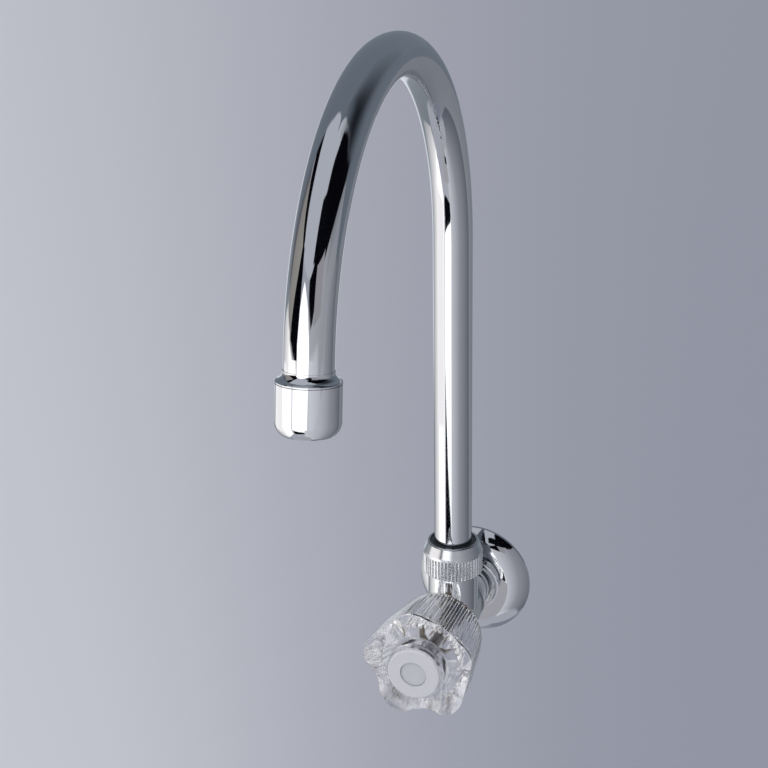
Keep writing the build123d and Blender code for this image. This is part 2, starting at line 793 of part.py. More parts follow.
with BuildPart() as aerator_housing:
    housing_top = outlet_rim + aerator_seam
    housing_end = housing_top + aerator_length
    gasket_top = outlet_rim + aerator_thread_length
    gasket_bottom = gasket_top + aerator_gasket_thickness
    insert_bottom = gasket_bottom + insert_thickness
    shoulder = housing_end - aerator_lip
    with BuildSketch(outlet_plane):
        with BuildLine():
            taper_start = (outlet_radius, housing_end - aerator_taper)
            taper_end = (outlet_radius - aerator_taper_width, housing_end)
            SagittaArc(taper_start, taper_end, -aerator_taper_bulge)
            Polyline(
                taper_end,
                (aerator_mouth_radius, housing_end),
                (aerator_mouth_radius, shoulder),
                (aerator_cavity_radius, shoulder),
                (aerator_cavity_radius, gasket_top),
                (aerator_thread_radius + thread_gap, gasket_top),
                (aerator_thread_radius + thread_gap, housing_top),
                (outlet_radius, housing_top),
                taper_start,
            )
        make_face()
    revolve(axis=Axis(outlet_plane.origin, outlet_plane.y_dir))
finish(aerator_housing, "aerator_housing")

with BuildPart() as aerator_gasket:
    gasket_bore = tube_radius - tube_wall + aerator_gasket_lip
    ring(outlet_plane, gasket_bore, aerator_cavity_radius - running_gap, gasket_top, gasket_bottom)
finish(aerator_gasket, "aerator_gasket")

with BuildPart() as flow_insert:
    with BuildSketch(across_outlet(gasket_bottom)):
        Circle(aerator_cavity_radius - running_gap)
        RegularPolygon(insert_hole_radius, 6, mode=Mode.SUBTRACT)
        for i in range(1, insert_hole_rings + 1):
            with PolarLocations(i * insert_hole_pitch, i * insert_ring_holes):
                RegularPolygon(insert_hole_radius, 6, mode=Mode.SUBTRACT)
    extrude(amount=insert_thickness)
finish(flow_insert, "flow_insert")

with BuildPart() as aerator_screen:
    with BuildSketch(across_outlet(shoulder - screen_thickness)):
        Circle(aerator_cavity_radius - running_gap)
        with GridLocations(screen_pitch, screen_pitch, screen_hole_rows, screen_hole_rows):
            Rectangle(screen_hole, screen_hole, mode=Mode.SUBTRACT)
    extrude(amount=screen_thickness)
finish(aerator_screen, "aerator_screen")
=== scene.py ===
import logging
import math
from dataclasses import dataclass, field
from enum import Enum

import bmesh
import bpy
from mathutils import Matrix, Vector


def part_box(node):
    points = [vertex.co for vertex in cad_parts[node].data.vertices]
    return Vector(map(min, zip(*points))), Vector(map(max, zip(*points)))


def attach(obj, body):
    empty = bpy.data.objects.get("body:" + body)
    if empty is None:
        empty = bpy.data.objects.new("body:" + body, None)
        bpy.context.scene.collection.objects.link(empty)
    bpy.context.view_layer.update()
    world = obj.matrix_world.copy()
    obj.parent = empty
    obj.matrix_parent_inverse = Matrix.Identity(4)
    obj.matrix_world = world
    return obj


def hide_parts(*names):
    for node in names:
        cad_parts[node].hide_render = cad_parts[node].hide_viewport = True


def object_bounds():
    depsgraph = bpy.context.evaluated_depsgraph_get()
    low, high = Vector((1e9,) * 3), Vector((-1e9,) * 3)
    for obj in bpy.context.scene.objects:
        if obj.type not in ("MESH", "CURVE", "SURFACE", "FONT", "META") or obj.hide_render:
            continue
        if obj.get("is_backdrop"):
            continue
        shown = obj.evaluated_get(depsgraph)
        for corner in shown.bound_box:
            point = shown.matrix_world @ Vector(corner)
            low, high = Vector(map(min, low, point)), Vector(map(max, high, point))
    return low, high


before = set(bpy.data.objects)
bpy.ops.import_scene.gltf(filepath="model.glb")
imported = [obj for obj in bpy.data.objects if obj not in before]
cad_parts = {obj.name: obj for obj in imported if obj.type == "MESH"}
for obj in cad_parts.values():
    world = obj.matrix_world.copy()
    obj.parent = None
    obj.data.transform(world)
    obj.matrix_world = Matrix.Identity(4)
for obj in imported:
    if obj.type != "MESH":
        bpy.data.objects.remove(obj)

MM = 0.001  # metres in a millimetre
FIXED_BODY = "root"  # the body that is screwed to the pipe in the wall
CREST_TO_ARCH = 0.1  # metres from the tube's crest down to the middle of its bend
NOISE_LOW, NOISE_HIGH = 0.3, 0.7  # most of a noise's values lie between these
EDGE_SAMPLES = 6
# A ray crosses the knob many times: through its wall, its ribs and its hub.
RAY_LIMITS = {
    "max_bounces": 40,
    "glossy_bounces": 24,
    "transmission_bounces": 40,
    "transparent_max_bounces": 24,
}
log = logging.getLogger("wall_faucet")

Point = tuple[float, float, float]
Colour = tuple[float, float, float, float]


class Slot(Enum):
    """Material slot names for chrome and brass, which nothing in this script reads."""

    CHROME = "chrome"
    BRASS = "brass"


class Lathe(Enum):
    """The axis that a turned piece was spun about, named by its coordinate's output."""

    BARREL = "Y"
    RISER = "Z"


class Reach(Enum):
    """How a studio card is seen: only as a reflection, or also through clear plastic."""

    MIRRORED = "mirrored"
    MIRRORED_AND_THROUGH = "mirrored_and_through"


class Place(Enum):
    """Where on the spout a studio card's directions are counted from."""

    ARCH = "arch"
    NUT = "nut"

    def point(self) -> Vector:
        """Find the place on the CAD tube.

        Returns:
            The point in metres.
        """
        low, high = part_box("spout_tube" if self is Place.ARCH else "spout_nut")
        middle = (low + high) / 2
        if self is Place.NUT:
            return middle
        return Vector((middle.x, middle.y, high.z - CREST_TO_ARCH))


# ------------------------------------------------------------------------------- shared tools


def linear(hex_code: str) -> Colour:
    """Turn an sRGB hex colour into the linear colour that the shaders take.

    Args:
        hex_code: The colour as "#RRGGBB".

    Returns:
        Linear red, green and blue, and an alpha of one.
    """
    channels = [int(hex_code[i : i + 2], 16) / 255 for i in (1, 3, 5)]
    red, green, blue = (
        c / 12.92 if c <= 0.04045 else ((c + 0.055) / 1.055) ** 2.4 for c in channels
    )
    return (red, green, blue, 1.0)


def add_node(
    tree: bpy.types.NodeTree,
    kind: str,
    settings: dict[str, object] | None = None,
    inputs: dict[str | int, object] | None = None,
) -> bpy.types.Node:
    """Add one node with its settings, input values and links.

    Args:
        tree: The tree that takes the node.
        kind: The node's type name.
        settings: The node's own properties.
        inputs: A value, or an output socket to link, for each named or numbered input.

    Returns:
        The new node.
    """
    node = tree.nodes.new(kind)
    for name, value in (settings or {}).items():
        setattr(node, name, value)
    for key, value in (inputs or {}).items():
        if isinstance(value, bpy.types.NodeSocket):
            tree.links.new(value, node.inputs[key])
        else:
            node.inputs[key].default_value = value
    return node


def new_material(name: str) -> tuple[bpy.types.Material, bpy.types.NodeTree]:
    """Make an empty node material.

    Args:
        name: The material's name.

    Returns:
        The material and its cleared node tree.
    """
    material = bpy.data.materials.new(name)
    material.use_nodes = True
    material.node_tree.nodes.clear()
    return material, material.node_tree


def close_material(tree: bpy.types.NodeTree, shader: bpy.types.NodeSocket) -> None:
    """Link a surface shader to the material's output."""
    add_node(tree, "ShaderNodeOutputMaterial", inputs={"Surface": shader})


def repeats(spacing_mm: float) -> float:
    """Turn the spacing of a pattern into a texture scale for coordinates in metres."""
    return 1 / (spacing_mm * MM)


def speckle(
    tree: bpy.types.NodeTree, spacing_mm: float, detail: float = 2.0
) -> bpy.types.NodeSocket:
    """Add a noise over the piece's own coordinates.

    Args:
        tree: The tree that takes the nodes.
        spacing_mm: The real size of one speck.
        detail: How many finer layers the noise has.

    Returns:
        The noise's value output.
    """
    place = add_node(tree, "ShaderNodeTexCoord")
    noise = add_node(
        tree,
        "ShaderNodeTexNoise",
        inputs={
            "Vector": place.outputs["Object"],
            "Scale": repeats(spacing_mm),
            "Detail": detail,
        },
    )
    return noise.outputs["Fac"]


def between(
    tree: bpy.types.NodeTree, value: bpy.types.NodeSocket, low: float, high: float
) -> bpy.types.NodeSocket:
    """Spread a noise's middle range over two limits.

    Args:
        tree: The tree that takes the node.
        value: The noise, from zero to one.
        low: The result at the noise's low side.
        high: The result at its high side.

    Returns:
        The spread value.
    """
    spread = add_node(
        tree,
        "ShaderNodeMapRange",
        inputs={
            "Value": value,
            "From Min": NOISE_LOW,
            "From Max": NOISE_HIGH,
            "To Min": low,
            "To Max": high,
        },
    )
    return spread.outputs["Result"]


def tinted(
    tree: bpy.types.NodeTree, amount: bpy.types.NodeSocket, first: str, second: str
) -> bpy.types.NodeSocket:
    """Mix two colours by a value from zero to one.

    Args:
        tree: The tree that takes the node.
        amount: How much of the second colour shows.
        first: The first colour, as sRGB hex.
        second: The second colour, as sRGB hex.

    Returns:
        The mixed colour.
    """
    mix = add_node(
        tree,
        "ShaderNodeMix",
        {"data_type": "RGBA"},
        {0: amount, 6: linear(first), 7: linear(second)},
    )
    return mix.outputs[2]


def relief(
    tree: bpy.types.NodeTree, height: bpy.types.NodeSocket, depth_mm: float
) -> bpy.types.NodeSocket:
    """Turn a height from zero to one into a bumped normal of a real depth."""
    bump = add_node(
        tree,
        "ShaderNodeBump",
        inputs={"Height": height, "Distance": depth_mm * MM, "Strength": 1.0},
    )
    return bump.outputs["Normal"]


def softened(
    tree: bpy.types.NodeTree, surface: bpy.types.NodeSocket, edge_mm: float
) -> bpy.types.NodeSocket:
    """Round the shading over each sharp edge of a piece, whose mesh stays as it is.

    Args:
        tree: The tree that takes the node.
        surface: The normal to start from.
        edge_mm: The radius of the rounding.

    Returns:
        The rounded normal.
    """
    return add_node(
        tree,
        "ShaderNodeBevel",
        {"samples": EDGE_SAMPLES},
        {"Radius": edge_mm * MM, "Normal": surface},
    ).outputs[0]


# ----------------------------------------------------------------------------------- finishes


@dataclass(frozen=True)
class ChromePlate:
    """Bright decorative chrome, plated over nickel on polished brass.

    It gives the eye a hard mirror with a faint cool cast, where only the edges of the lamps'
    reflections wander a little on the plating's soft unevenness.
    """

    name: str = "chrome_plate_on_polished_brass"
    colour: str = "#C9CBCE"
    wiped_colour: str = "#C2C5C9"
    roughness: float = 0.03
    wiped_roughness: float = 0.06
    wipe_mm: float = 22.0
    peel_mm: float = 9.0
    peel_depth_mm: float = 0.004
    edge_mm: float = 0.0  # how far the plating rounds each edge, where that shows

    def material(self) -> bpy.types.Material:
        """Build the plated metal.

        Returns:
            The material.
        """
        made, tree = new_material(self.name)
        wipe = speckle(tree, self.wipe_mm)
        surface = relief(tree, speckle(tree, self.peel_mm), self.peel_depth_mm)
        if self.edge_mm > 0.0:
            surface = softened(tree, surface, self.edge_mm)
        shader = add_node(
            tree,
            "ShaderNodeBsdfPrincipled",
            inputs={
                "Base Color": tinted(tree, wipe, self.colour, self.wiped_colour),
                "Metallic": 1.0,
                "Roughness": between(tree, wipe, self.roughness, self.wiped_roughness),
                "Normal": surface,
            },
        )
        close_material(tree, shader.outputs[0])
        return made


@dataclass(frozen=True)
class TurnedBrass:
    """Free-cutting brass, left as it came off the lathe.

    It gives the eye a warm metal with fine rings across the turning axis and dull patches of
    tarnish. Its default colours are darkened to brown as painted shade for the valve seen
    inside the knob, and the new brass is yellow.
    The rings are drawn coarser than the real feed marks.
    """

    name: str = "turned_brass_with_painted_shade"
    axis: Lathe = Lathe.BARREL
    # The default colour and tarnish are darkened: painted shade for the valve seen inside the
    # knob.
    colour: str = "#6E5E45"
    tarnish: str = "#453B2F"
    roughness: float = 0.3
    tarnished_roughness: float = 0.45
    tarnish_mm: float = 6.0
    ring_mm: float = 0.35
    ring_depth_mm: float = 0.01

    def material(self) -> bpy.types.Material:
        """Build the turned metal.

        Returns:
            The material.
        """
        made, tree = new_material(f"{self.name}_{self.axis.name.lower()}")
        place = add_node(tree, "ShaderNodeTexCoord")
        parts = add_node(
            tree, "ShaderNodeSeparateXYZ", inputs={0: place.outputs["Object"]}
        )
        rings = add_node(
            tree,
            "ShaderNodeTexNoise",
            {"noise_dimensions": "1D"},
            {"W": parts.outputs[self.axis.value], "Scale": repeats(self.ring_mm)},
        )
        patches = speckle(tree, self.tarnish_mm, 4.0)
        shader = add_node(
            tree,
            "ShaderNodeBsdfPrincipled",
            inputs={
                "Base Color": tinted(tree, patches, self.colour, self.tarnish),
                "Metallic": 1.0,
                "Roughness": between(
                    tree, patches, self.roughness, self.tarnished_roughness
                ),
                "Normal": relief(tree, rings.outputs["Fac"], self.ring_depth_mm),
            },
        )
        close_material(tree, shader.outputs[0])
        return made


@dataclass(frozen=True)
class ClearAcrylic:
    """Clear acrylic, injection moulded in a polished tool.

    It gives the eye a water-clear solid that bends what lies behind it and gathers white
    glints in its ribs, with a slow waviness where the plastic shrank off the mould.
    """

    name: str = "moulded_clear_acrylic"
    colour: str = "#FFFFFF"
    roughness: float = 0.1
    ior: float = 1.49
    sink_mm: float = 6.0
    sink_depth_mm: float = 0.005
    edge_mm: float = 0.4  # how far the tool's polishing rounded each edge

    def material(self) -> bpy.types.Material:
        """Build the clear plastic.

        Returns:
            The material.
        """
        made, tree = new_material(self.name)
        shader = add_node(
            tree,
            "ShaderNodeBsdfPrincipled",
            inputs={
                "Base Color": linear(self.colour),
                "Roughness": self.roughness,
                "IOR": self.ior,
                "Transmission Weight": 1.0,
                "Normal": softened(
                    tree,
                    relief(tree, speckle(tree, self.sink_mm), self.sink_depth_mm),
                    self.edge_mm,
                ),
            },
        )
        close_material(tree, shader.outputs[0])
        return made


@dataclass(frozen=True)
class MouldedPlastic:
    """An opaque plastic with the fine grain of an etched mould.

    It gives the eye an even, slightly mottled surface whose sheen is broken by the grain. The
    grain is drawn coarser than the real etching so that it shows.
    """

    name: str
    colour: str
    mottle: str
    roughness: float = 0.4
    sheen_spread: float = 0.15  # share by which the grain changes the roughness
    grain_mm: float = 0.5
    grains_per_mottle: float = 8.0
    grain_depth_mm: float = 0.01
    ior: float = 1.5

    def material(self) -> bpy.types.Material:
        """Build the plastic.

        Returns:
            The material.
        """
        made, tree = new_material(self.name)
        grain = speckle(tree, self.grain_mm)
        blotches = speckle(tree, self.grains_per_mottle * self.grain_mm)
        shader = add_node(
            tree,
            "ShaderNodeBsdfPrincipled",
            inputs={
                "Base Color": tinted(tree, blotches, self.colour, self.mottle),
                "Roughness": between(
                    tree,
                    grain,
                    (1 - self.sheen_spread) * self.roughness,
                    (1 + self.sheen_spread) * self.roughness,
                ),
                "IOR": self.ior,
                "Normal": relief(tree, grain, self.grain_depth_mm),
            },
        )
        close_material(tree, shader.outputs[0])
        return made


@dataclass(frozen=True)
class HatchedPlastic:
    """White plastic with a fine crossed hatch, moulded in to hide scratches.

    It gives the eye a satin disc that looks faintly ruled when the light rakes over it, with
    painted shade in the hatch's grooves. The hatch is drawn coarser than the real one so that
    it shows.
    """

    name: str = "moulded_white_hatched_plastic"
    colour: str = "#E0E0E6"
    # The grooves' darker colour is painted shade in the hatch.
    groove_painted_shade: str = "#C2C3CA"
    roughness: float = 0.38
    ior: float = 1.53
    hatch_mm: float = 0.9
    hatch_depth_mm: float = 0.03

    def material(self) -> bpy.types.Material:
        """Build the hatched plastic.

        Returns:
            The material.
        """
        made, tree = new_material(self.name)
        place = add_node(tree, "ShaderNodeTexCoord")
        hatch = None
        # Blender's wave of scale S repeats every pi / (10 * S) metres.
        bands = math.pi / 10 * repeats(self.hatch_mm)
        for slant in (math.pi / 4, -math.pi / 4):
            turned = add_node(
                tree,
                "ShaderNodeMapping",
                inputs={0: place.outputs["Object"], "Rotation": (0.0, slant, 0.0)},
            )
            lines = add_node(
                tree,
                "ShaderNodeTexWave",
                {"wave_type": "BANDS", "bands_direction": "X"},
                {0: turned.outputs[0], "Scale": bands},
            )
            if hatch is None:
                hatch = lines.outputs["Fac"]
            else:
                hatch = add_node(
                    tree,
                    "ShaderNodeMath",
                    {"operation": "MULTIPLY"},
                    {0: hatch, 1: lines.outputs["Fac"]},
                ).outputs[0]
        shader = add_node(
            tree,
            "ShaderNodeBsdfPrincipled",
            inputs={
                # Painted shade: the hatch's grooves are coloured darker than the plastic.
                "Base Color": tinted(tree, hatch, self.groove_painted_shade, self.colour),
                "Roughness": self.roughness,
                "IOR": self.ior,
                "Normal": relief(tree, hatch, self.hatch_depth_mm),
            },
        )
        close_material(tree, shader.outputs[0])
        return made


@dataclass(frozen=True)
class StampedSteel:
    """Stainless steel, rolled and stamped.

    It gives the eye a grey satin metal with short rolling streaks. The streaks are drawn
    coarser than the real grain.
    """

    name: str = "stamped_stainless_steel"
    colour: str = "#B4B5B8"
    streak_colour: str = "#9C9EA2"
    roughness: float = 0.28
    streak_mm: float = 0.6
    streak_depth_mm: float = 0.004

    def material(self) -> bpy.types.Material:
        """Build the steel.

        Returns:
            The material.
        """
        made, tree = new_material(self.name)
        streaks = speckle(tree, self.streak_mm, 3.0)
        shader = add_node(
            tree,
            "ShaderNodeBsdfPrincipled",
            inputs={
                "Base Color": tinted(tree, streaks, self.colour, self.streak_colour),
                "Metallic": 1.0,
                "Roughness": self.roughness,
                "Normal": relief(tree, streaks, self.streak_depth_mm),
            },
        )
        close_material(tree, shader.outputs[0])
        return made


@dataclass
class Finishes:
    """Every finish of the faucet, built once and shared by its pieces."""

    chrome: bpy.types.Material = field(default_factory=lambda: ChromePlate().material())
    knurl_chrome: bpy.types.Material = field(
        default_factory=lambda: ChromePlate(
            "chrome_plate_on_knurled_brass", roughness=0.18, wiped_roughness=0.22, edge_mm=0.2
        ).material()
    )
    # Darkened brass: painted shade for the valve and the knob's bush inside the knob.
    brass: bpy.types.Material = field(default_factory=lambda: TurnedBrass().material())
    thread_brass: bpy.types.Material = field(
        default_factory=lambda: TurnedBrass(
            "turned_new_brass", colour="#DCC08A", tarnish="#B39966"
        ).material()
    )
    # The same darkened brass with its painted shade, turned about the riser.
    riser_brass: bpy.types.Material = field(
        default_factory=lambda: TurnedBrass(axis=Lathe.RISER).material()
    )
    acrylic: bpy.types.Material = field(default_factory=lambda: ClearAcrylic().material())
    hatched: bpy.types.Material = field(default_factory=lambda: HatchedPlastic().material())
    steel: bpy.types.Material = field(default_factory=lambda: StampedSteel().material())
    ptfe: bpy.types.Material = field(
        default_factory=lambda: MouldedPlastic(
            "pressed_ptfe", "#F1F1EE", "#E4E4E0", roughness=0.5
        ).material()
    )
    grey: bpy.types.Material = field(
        default_factory=lambda: MouldedPlastic(
            "moulded_grey_abs", "#C6C8CD", "#BCBEC4", roughness=0.35
        ).material()
    )
    acetal: bpy.types.Material = field(
        default_factory=lambda: MouldedPlastic(
            "moulded_black_acetal", "#1B1C20", "#25262B", roughness=0.35
        ).material()
    )
    rubber: bpy.types.Material = field(
        default_factory=lambda: MouldedPlastic(
            "moulded_nitrile_rubber", "#17171A", "#222226", roughness=0.6, grain_mm=0.8
        ).material()
    )
    fibre: bpy.types.Material = field(
        default_factory=lambda: MouldedPlastic(
            "pressed_red_fibre", "#8E3A2C", "#6F2A20", roughness=0.7, grain_mm=0.4
        ).material()
    )


def dress(node: str, material: bpy.types.Material) -> None:
    """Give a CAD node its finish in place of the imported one.

    Args:
        node: The node's name.
        material: The finish for all its faces.
    """
    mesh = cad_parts[node].data
    if not mesh.materials:
        mesh.materials.append(material)
    for index in range(len(mesh.materials)):
        mesh.materials[index] = material
    log.info("%s finished as %s", node, material.name)


# ------------------------------------------------------------------------------ sub-assemblies


@dataclass
class WallSide:
    """The casting, its pipe thread and the cover flange."""

    crest_radius: float = 10.48 * MM
    root_radius: float = 9.32 * MM
    pitch: float = 1.814 * MM
    length: float = 14.0 * MM
    bore_radius: float = 6.5 * MM
    runout: float = 1.2 * MM
    flank_steepness: float = 1.6
    root_flat: float = 0.3
    nose_depth: float = 0.35  # of the chamfer at the thread's end, in pitches
    sharp_degrees: float = 50.0
    around: int = 96
    steps_per_pitch: int = 14
    barrel_bore_limit: float = 10.2 * MM  # faces nearer to the axis that face it are bored
    riser_bore_limit: float = 11.0 * MM
    boss_floor: float = 6.0 * MM  # the riser's bore lies above this
    wall_clearance: float = 0.1 * MM
    touch: float = 0.01 * MM

    def thread_radius(self, along: float, angle: float) -> float:
        """Radius of the thread's flank.

        Args:
            along: Distance from the wall into it.
            angle: Angle round the inlet.

        Returns:
            The radius, with the crest flattened and both ends run out.
        """
        phase = (along / self.pitch - angle / (2 * math.pi)) % 1.0
        away = 2 * abs(phase - 0.5)
        flank = min(1.0, max(0.0, self.flank_steepness * away - self.root_flat))
        lead = min(1.0, (self.length - along) / self.runout)
        start = min(1.0, along / self.runout)
        cut = (self.crest_radius - self.root_radius) * (1 - flank)
        return self.crest_radius - cut * start - (1 - lead) * self.pitch * self.nose_depth

    def thread(self, finish: bpy.types.Material) -> bpy.types.Object:
        """Build the helical pipe thread that goes into the wall.

        Args:
            finish: The metal of the thread.

        Returns:
            The thread, riding on the fixed body.
        """
        bm = bmesh.new()
        rows = []
        steps = round(self.length / self.pitch * self.steps_per_pitch)
        for step in range(steps + 1):
            along = self.length * step / steps
            row = []
            for place in range(self.around):
                angle = 2 * math.pi * place / self.around
                radius = self.thread_radius(along, angle)
                row.append(
                    bm.verts.new((radius * math.cos(angle), along, radius * math.sin(angle)))
                )
            rows.append(row)
        mouth = [
            bm.verts.new(
                (
                    self.bore_radius * math.cos(2 * math.pi * place / self.around),
                    self.length,
                    self.bore_radius * math.sin(2 * math.pi * place / self.around),
                )
            )
            for place in range(self.around)
        ]
        rows.append(mouth)
        for low, high in zip(rows, rows[1:]):
            for place in range(self.around):
                after = (place + 1) % self.around
                bm.faces.new((low[place], low[after], high[after], high[place]))
        bmesh.ops.recalc_face_normals(bm, faces=bm.faces)
        mesh = bpy.data.meshes.new("inlet_pipe_thread")
        bm.to_mesh(mesh)
        bm.free()
        mesh.materials.append(finish)
        mesh.shade_smooth()
        mesh.set_sharp_from_angle(angle=math.radians(self.sharp_degrees))
        made = bpy.data.objects.new("inlet_pipe_thread", mesh)
        bpy.context.scene.collection.objects.link(made)
        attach(made, FIXED_BODY)
        return made

    def bored(self, centre: Vector, normal: Vector) -> bool:
        """Say whether a face of the casting lies in one of its bores.

        Args:
            centre: The face's middle.
            normal: The way that it faces.

        Returns:
            True where it is near a bore's axis and faces it.
        """
        riser = Place.NUT.point()
        to_barrel = Vector((-centre.x, -centre.z))
        to_riser = Vector((riser.x - centre.x, riser.y - centre.y))
        faces_barrel = normal.xz.dot(to_barrel) > 0
        faces_riser = normal.xy.dot(to_riser) > 0 and centre.z > self.boss_floor
        return (to_barrel.length < self.barrel_bore_limit and faces_barrel) or (
            to_riser.length < self.riser_bore_limit and faces_riser
        )

    def casting(self, plated: bpy.types.Material, bare: bpy.types.Material) -> bpy.types.Object:
        """Copy the casting without its plain thread stub, and leave its bores unplated.

        Args:
            plated: The finish outside.
            bare: The finish in the bores.

        Returns:
            The casting, which stands for the CAD body.
        """
        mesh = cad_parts["body"].data.copy()
        mesh.name = "body_casting"
        bm = bmesh.new()
        bm.from_mesh(mesh)
        stub = [
            face
            for face in bm.faces
            if face.calc_center_median().y > self.touch
            and min(math.hypot(v.co.x, v.co.z) for v in face.verts)
            > self.bore_radius + self.wall_clearance
        ]
        mouth = [
            face
            for face in bm.faces
            if all(v.co.y > self.length - self.touch for v in face.verts)
        ]
        bmesh.ops.delete(bm, geom=list(set(stub + mouth)), context="FACES")
        bm.to_mesh(mesh)
        bm.free()
        mesh.materials.clear()
        mesh.materials.append(plated)
        mesh.materials.append(bare)
        for face in mesh.polygons:
            face.material_index = int(self.bored(face.center, face.normal))
        made = bpy.data.objects.new("body_casting", mesh)
        bpy.context.scene.collection.objects.link(made)
        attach(made, FIXED_BODY)
        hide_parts("body")
        return made

    def build(self, finishes: Finishes) -> None:
        """Build the added pieces and dress the flange.

        Args:
            finishes: The shared finishes.
        """
        casting = self.casting(finishes.chrome, finishes.thread_brass)
        log.info("%s built", casting.name)
        thread = self.thread(finishes.thread_brass)
        log.info("%s built", thread.name)
        dress("wall_flange", finishes.chrome)


@dataclass
class Headwork:
    """The valve inside the barrel, seen through the knob and between it and the body."""

    brass_nodes: tuple[str, ...] = (
        "bonnet",
        "packing_nut",
        "packing_follower",
        "spindle",
        "valve_seat",
        "disc_holder",
    )

    def build(self, finishes: Finishes) -> None:
        """Dress the valve's pieces.

        Args:
            finishes: The shared finishes.
        """
        for node in self.brass_nodes:
            dress(node, finishes.brass)
        dress("bonnet_gasket", finishes.fibre)
        dress("stem_packing", finishes.ptfe)
        dress("disc_washer", finishes.rubber)
        dress("disc_screw", finishes.steel)


@dataclass
class Knob:
    """The clear knob with its bush, screw, cap and button."""

    def build(self, finishes: Finishes) -> None:
        """Dress the knob's pieces.

        Args:
            finishes: The shared finishes.
        """
        dress("knob", finishes.acrylic)
        dress("knob_insert", finishes.brass)
        dress("knob_screw", finishes.steel)
        dress("index_cap", finishes.hatched)
        dress("index_button", finishes.grey)


@dataclass
class Gooseneck:
    """The swivelling spout from its foot to the aerator."""

    chrome_nodes: tuple[str, ...] = (
        "spout_tube",
        "outlet_collar",
        "aerator_housing",
        "spout_nut",
    )

    def build(self, finishes: Finishes) -> None:
        """Dress the spout's pieces.

        Args:
            finishes: The shared finishes.
        """
        for node in self.chrome_nodes:
            dress(node, finishes.knurl_chrome if node == "spout_nut" else finishes.chrome)
        dress("spout_foot", finishes.riser_brass)
        dress("spout_o_rings", finishes.rubber)
        dress("aerator_gasket", finishes.rubber)
        dress("thrust_washer", finishes.ptfe)
        dress("glide_bush", finishes.acetal)
        dress("flow_insert", finishes.grey)
        dress("aerator_screen", finishes.steel)


# --------------------------------------------------------------------------------- the studio


@dataclass(frozen=True)
class Card:
    """A card or lit panel round the set, given by the directions of its corners.

    Directions are degrees of azimuth, from straight out of the wall towards +X, and of
    elevation, as seen from one place on the spout. The tone is the one that the chrome shows.
    """

    name: str
    corners: tuple[tuple[float, float], ...]  # in order round the card
    tone: str
    far_tone: str | None = None  # at the side with the highest azimuth
    strength: float = 1 / 0.6  # makes up for what the plating swallows
    distance: float = 1.5
    feather: float = 0.12  # share of the way in from its edge over which the card fades
    place: Place = Place.ARCH
    reach: Reach = Reach.MIRRORED

    def material(self) -> bpy.types.Material:
        """Build the card's own light, fading to nothing at its edge.

        Returns:
            The material.
        """
        made, tree = new_material(self.name)
        where = add_node(tree, "ShaderNodeUVMap", {"uv_map": "out_and_across"})
        parts = add_node(tree, "ShaderNodeSeparateXYZ", inputs={0: where.outputs[0]})
        mask = add_node(
            tree,
            "ShaderNodeMapRange",
            {"interpolation_type": "SMOOTHSTEP"},
            {
                "Value": parts.outputs["X"],
                "From Min": 1.0 - self.feather,
                "From Max": 1.0,
                "To Min": 1.0,
                "To Max": 0.0,
            },
        )
        glow = add_node(
            tree,
            "ShaderNodeEmission",
            inputs={
                "Color": tinted(tree, parts.outputs["Y"], self.tone, self.far_tone or self.tone),
                "Strength": self.strength,
            },
        )
        clear = add_node(tree, "ShaderNodeBsdfTransparent")
        mix = add_node(
            tree,
            "ShaderNodeMixShader",
            inputs={0: mask.outputs["Result"], 1: clear.outputs[0], 2: glow.outputs[0]},
        )
        close_material(tree, mix.outputs[0])
        return made

    def outline(self, steps: int) -> list[tuple[float, float]]:
        """Divide the card's sides.

        Args:
            steps: Divisions of each side.

        Returns:
            Directions round the card, in order.
        """
        points = []
        for start, end in zip(self.corners, self.corners[1:] + self.corners[:1]):
            for step in range(steps):
                share = step / steps
                points.append(tuple(a + (b - a) * share for a, b in zip(start, end)))
        return points

    def build(self, steps: int = 10) -> bpy.types.Object:
        """Build the card as a curved fan round its own middle.

        Args:
            steps: Divisions of each side, and of the way in to the middle.

        Returns:
            The card, marked as part of the stage.
        """
        eye = self.place.point()
        rim = self.outline(steps)
        hub = [sum(corner[k] for corner in self.corners) / len(self.corners) for k in (0, 1)]
        west = min(corner[0] for corner in self.corners)
        span = max(corner[0] for corner in self.corners) - west
        bm = bmesh.new()
        layer = bm.loops.layers.uv.new("out_and_across")
        rows = []
        for out in (step / steps for step in range(steps + 1)):
            row = []
            for direction in rim if out else [hub]:
                azimuth, elevation = (h + (d - h) * out for h, d in zip(hub, direction))
                a, e = math.radians(azimuth), math.radians(elevation)
                way = Vector((math.sin(a) * math.cos(e), -math.cos(a) * math.cos(e), math.sin(e)))
                vert = bm.verts.new(eye + way * self.distance)
                row.append((vert, (out, (azimuth - west) / span)))
            rows.append(row)
        for low, high in zip(rows, rows[1:]):
            for place in range(len(rim)):
                after = (place + 1) % len(rim)
                corners = [low[place % len(low)], low[after % len(low)], high[after], high[place]]
                if len(low) == 1:
                    corners = corners[1:]
                face = bm.faces.new([corner[0] for corner in corners])
                for loop, corner in zip(face.loops, corners):
                    loop[layer].uv = corner[1]
        mesh = bpy.data.meshes.new(self.name)
        bm.to_mesh(mesh)
        bm.free()
        mesh.materials.append(self.material())
        made = bpy.data.objects.new(self.name, mesh)
        bpy.context.scene.collection.objects.link(made)
        made.visible_camera = False
        made.visible_diffuse = False
        made.visible_shadow = False
        made.visible_volume_scatter = False
        made.visible_transmission = self.reach is Reach.MIRRORED_AND_THROUGH
        made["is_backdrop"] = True
        return made


@dataclass(frozen=True)
class Lamp:
    """A large soft lamp that lights the set but isn't itself mirrored."""

    name: str
    place: Point
    side: float
    watts: float


